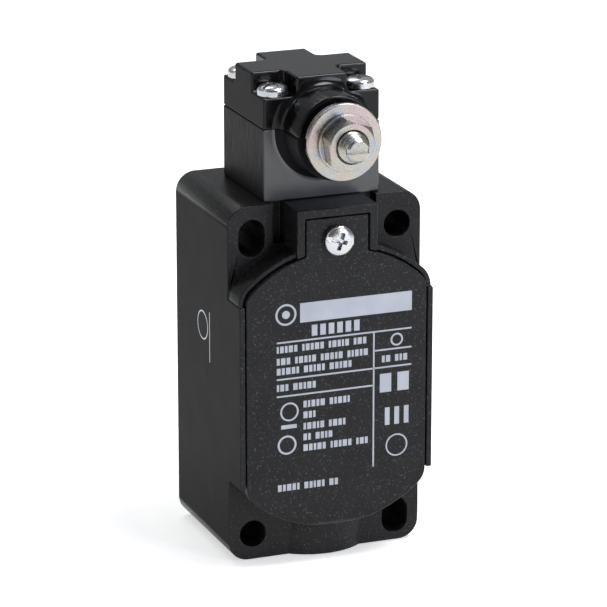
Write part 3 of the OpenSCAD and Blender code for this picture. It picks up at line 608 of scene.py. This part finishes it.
def screwsFrom(name, piece, body, along, headShare, turns):
    # one screw for each separate head of a CAD node, read from where its points lie
    co = np.array([v.co for v in nodes[name].data.vertices])
    place = co[:, [0, 2, 1]] * [1, 1, -1] if along == "front" else co
    top = place[:, 2].max()
    half = place[:, :2].max(0) + place[:, :2].min(0)
    groups = []
    for sx in ((-1, 1) if headShare["columns"] == 2 else (0,)):
        for sy in ((-1, 1) if headShare["rows"] == 2 else (0,)):
            keep = np.ones(len(place), bool)
            if sx:
                keep &= sx * (place[:, 0] - half[0] / 2) > 0
            if sy:
                keep &= sy * (place[:, 1] - half[1] / 2) > 0
            groups.append(place[keep])
    parts = []
    for k, g in enumerate(groups):
        centre = (g[:, :2].max(0) + g[:, :2].min(0)) / 2
        headR = (g[:, 0].max() - g[:, 0].min()) / 2
        headH, shankR = headShare["height"], headShare["shank"]
        seat = top - headH
        p, f = panScrew(headR, headH, shankR, seat - g[:, 2].min(), turns[k])
        p = p + [centre[0], centre[1], seat]
        parts.append((p[:, [0, 2, 1]] * [1, -1, 1] if along == "front" else p, f))
    points, faces = stack(parts)
    return addPiece(piece, points, faces, screwZinc, body, [name], sharp=30)


screwsFrom("head_screws", "headScrews", "case", "up", {"columns": 2, "rows": 2, "height": 2.1 * mm,
           "shank": 1.5 * mm}, (0.5, 1.1, -0.35, 0.2))
screwsFrom("cover_screw", "coverScrew", "cover", "front", {"columns": 1, "rows": 1, "height": 1.9 * mm,
           "shank": 1.75 * mm}, (-0.3,))
screwsFrom("terminal_screws", "terminalScrews", "case", "front", {"columns": 2, "rows": 2, "height": 1.8 * mm,
           "shank": 1.6 * mm}, (0.4, 0.9, -0.2, 1.3))
screwsFrom("block_screws", "blockScrews", "case", "front", {"columns": 2, "rows": 1, "height": 1.6 * mm,
           "shank": 1.25 * mm}, (0.7, 0.1))
print("screws made")


def makeCoil(box, wire, turns):
    # a round wire on a helix, R cos t and R sin t: it lies almost flat for the end coils, climbs evenly
    # between them, and closes to a point at both ends
    dims = {"around": 10, "perTurn": 36, "endCoil": 0.9}
    radius = (box[1][0] - box[0][0]) / 2 - wire
    middleY = (box[0][1] + box[1][1]) / 2
    low, high = box[0][2] + wire, box[1][2] - wire
    t = np.linspace(0, turns, int(turns * dims["perTurn"]))
    climbed = np.clip((t - dims["endCoil"]) / (turns - 2 * dims["endCoil"]), 0, 1)
    rising = wire * (np.clip(t / dims["endCoil"], 0, 1) - np.clip((turns - t) / dims["endCoil"], 0, 1))
    middle = (low + high) / 2 + rising + (high - low - 2 * wire) * (climbed - 0.5)
    side = 2 * np.pi * np.arange(dims["around"])[None, :] / dims["around"]
    angle = 2 * np.pi * t[:, None]
    out = radius + wire * np.cos(side)
    tube = np.stack([out * np.cos(angle), middleY + out * np.sin(angle),
                     middle[:, None] + wire * np.sin(side)], -1)
    ends = [np.repeat(ring.mean(1, keepdims=True), dims["around"], 1) for ring in (tube[:1], tube[-1:])]
    tube = np.concatenate([ends[0], tube, ends[1]])
    return tube.reshape(-1, 3), quadGrid(len(tube), dims["around"])


springWire = 0.25 * mm
for name, piece, turns, joint in (("pusher_spring", "pusherSpring", 4.0, "pusher_slide"),
                                  ("contact_spring", "contactSpring", 6.5, "plunger_slide")):
    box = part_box(name)
    points, faces = makeCoil(box, springWire, turns)
    spring = addPiece(piece, points, faces, springSteel, "case", [name])
    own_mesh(spring)
print("springs made")


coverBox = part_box("front_cover")
coverFace = -coverBox[0][1]
ink = 0.02 * mm


def printedBars(bars):
    # each bar is a low flat block from (x, z) to (x, z), in millimetres
    bars = np.asarray(bars, float) * mm
    x0, z0, x1, z1 = bars.T
    near, far = -(coverFace + ink), -(coverFace - ink)
    corners = [(x0, near, z0), (x1, near, z0), (x1, near, z1), (x0, near, z1),
               (x0, far, z0), (x1, far, z0), (x1, far, z1), (x0, far, z1)]
    points = np.stack([np.stack([x, y + 0 * x, z], -1) for x, y, z in corners], 1).reshape(-1, 3)
    block = np.array([[0, 1, 2, 3], [7, 6, 5, 4], [0, 4, 5, 1], [1, 5, 6, 2], [2, 6, 7, 3], [3, 7, 4, 0]])
    return points, (block[None] + 8 * np.arange(len(bars))[:, None, None]).reshape(-1, 4)


def printedRing(x, z, radius, width):
    # a flat ring of ink
    profile = [[radius - width, coverFace - ink], [radius, coverFace - ink],
               [radius, coverFace + ink], [radius - width, coverFace + ink]]
    points, faces = turnedRing(profile, z, 64)
    return points + [x, 0, 0], faces


def dashRow(x0, x1, z, height, seed):
    # a row of small upright bars of uneven width, grouped in words, that stands for a line of print
    count = np.arange(60)
    widths = 0.42 + 0.5 * ((count * 0.618 + seed) % 1)
    gaps = 0.26 + 0.75 * (((count + int(7 * seed)) % 5) == 4)
    ends = x0 + np.cumsum(widths + gaps) - gaps
    keep = ends <= x1
    return [[b - w, z - height / 2, b, z + height / 2] for b, w in zip(ends[keep], widths[keep])]


# places on the cover in millimetres: the plate at the top, the rules, then the lines of print
coverPrint = {"rule": 0.32, "left": -12.5, "right": 15.5, "middle": 7.6, "text": 1.35}
rule, left, right, middle = (coverPrint[k] for k in ("rule", "left", "right", "middle"))
bars = [[-7.7, 14.3, right, 18.2], [left, 10.55, right, 10.55 + rule], [left, 3.15, right, 3.15 + rule],
        [left, -0.3, middle, -0.3 + rule], [middle, 6.7, right, 6.7 + rule],
        [middle - rule / 2, -16.8, middle + rule / 2, 10.6]]
bars += [[x, 11.4, x + 1.15, 13.6] for x in np.arange(6) * 1.75 - 5.3]
for row, (x0, x1, z) in enumerate([(left, 6.4, 9.3), (left, 6.8, 6.9), (left, 3.0, 4.9), (left, -3.4, 1.6),
                                   (-7.0, 4.1, -2.2), (-7.0, -3.0, -4.4), (-7.0, 2.6, -6.7), (-7.0, -0.7, -8.9),
                                   (-7.0, 7.0, -11.1), (9.3, 14.9, 5.0), (left + 0.2, 0.2, -18.8)]):
    bars += dashRow(x0, x1, z, coverPrint["text"], 0.37 * row)
bars += [[x, -8.6, x + 1.0, -5.0] for x in (10.0, 12.0, 14.0)]  # three strokes at the lower right
bars += [[x, -1.8, x + 2.4, 2.0] for x in (8.9, 12.6)]  # two blocks above them
bars += [[-11.6, -6.8, -8.4, -6.0]]  # the dash between the two left rings
# each ring: x, z, outer radius and width, in millimetres
rings = [(-10.6, 16.2, 2.15, 0.4), (-10.6, 16.2, 0.8, 0.79), (-9.9, -3.4, 1.9, 0.35), (-10.4, -10.1, 1.95, 0.4),
         (12.5, -12.9, 2.3, 0.3), (12.4, 8.7, 1.3, 0.35)]
points, faces = stack([printedBars(bars)] + [printedRing(*(v * mm for v in r)) for r in rings])
addPiece("coverPrint", points, faces, printInk, "cover")
print("print made")


lo, hi = (Vector(v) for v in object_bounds())
floorZ = lo.z - 0.2 * mm  # just below the case's foot, so the two don't share a plane


def plainSheet(name, corners, material):
    mesh = bpy.data.meshes.new(name)
    mesh.from_pydata(corners, [], [[0, 1, 2, 3]])
    mesh.materials.append(material)
    sheet = bpy.data.objects.new(name, mesh)
    bpy.context.scene.collection.objects.link(sheet)
    sheet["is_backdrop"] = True
    return sheet


floorPaint = makePlain("white floor", "#e6e6e6", "#ebebeb", 0.9, 0.0, 2.0, relief=0.0)
paintShader = floorPaint.node_tree.nodes["Principled BSDF"].inputs
paintShader["Emission Color"].default_value = linear("#ffffff")  # lifts the paper white under soft light
paintShader["Emission Strength"].default_value = 0.55
paintShader["Specular IOR Level"].default_value = 0.0
reach = 3.0
plainSheet("floor", [(x * reach, y * reach, floorZ) for x, y in ((-1, -1), (1, -1), (1, 1), (-1, 1))],
           floorPaint)


def softLight(name, place, target, size, watts, colour="#ffffff"):
    light = bpy.data.lights.new(name, "AREA")
    light.shape = "RECTANGLE"
    light.size, light.size_y = size
    light.energy = watts
    light.color = linear(colour)[:3]
    lamp = bpy.data.objects.new(name, light)
    bpy.context.scene.collection.objects.link(lamp)
    lamp.location = place
    lamp.rotation_euler = (Vector(target) - Vector(place)).to_track_quat("-Z", "Y").to_euler()
    lamp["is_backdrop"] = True


middle = (lo + hi) / 2
softLight("left light", (-0.8, -0.1, 0.3), middle, (0.3, 0.6), 0.6)
softLight("top light", (0.28, -0.22, 0.75), middle, (0.32, 0.32), 5.0)
softLight("back light", (-0.1, 0.5, 0.8), middle, (0.6, 0.3), 2.5)
softLight("front light", (0.45, -0.8, 0.3), middle, (0.25, 0.5), 3.2, "#e9eeff")

world = bpy.data.worlds.new("white room, dim in front")
bpy.context.scene.world = world
world.use_nodes = True
way = addNode(world, "TexCoord").outputs["Generated"]
heading = addNode(world, "SeparateXYZ", {"Vector": way}).outputs
ahead = spread(world, heading["Y"], 0.0, 1.0, -0.75, 0.1)
room = ramp(world, ahead, [(0.0, "#6e7278"), (0.45, "#94979b"), (1.0, "#b4b6b8")])
world.node_tree.links.new(room, world.node_tree.nodes["Background"].inputs["Color"])
world.node_tree.nodes["Background"].inputs["Strength"].default_value = 0.8
bpy.context.scene.view_settings.view_transform = "Standard"
bpy.context.scene.view_settings.look = "None"

# the camera stands in front of the left side and looks slightly down
cameraAt = {"place": (-250.92, -656.49, 222.3), "yaw": 21.46, "pitch": 17.03, "roll": 0.01, "lens": 216.56}
yaw, pitch, roll = (math.radians(cameraAt[k]) for k in ("yaw", "pitch", "roll"))
ahead = Vector((math.sin(yaw) * math.cos(pitch), math.cos(yaw) * math.cos(pitch), -math.sin(pitch)))
aside = Vector((math.cos(yaw), -math.sin(yaw), 0))
above = aside.cross(ahead)
across = aside * math.cos(roll) + above * math.sin(roll)
upward = above * math.cos(roll) - aside * math.sin(roll)
camera = bpy.data.objects.new("camera", bpy.data.cameras.new("camera"))
bpy.context.scene.collection.objects.link(camera)
camera.matrix_world = Matrix.Translation(Vector(cameraAt["place"]) * mm) @ Matrix(
    (across, upward, -ahead)).transposed().to_4x4()
camera.data.sensor_width = 36
camera.data.lens = cameraAt["lens"]
camera.data.clip_start, camera.data.clip_end = 0.01, 20
bpy.context.scene.camera = camera
camera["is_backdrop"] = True
print("studio made")
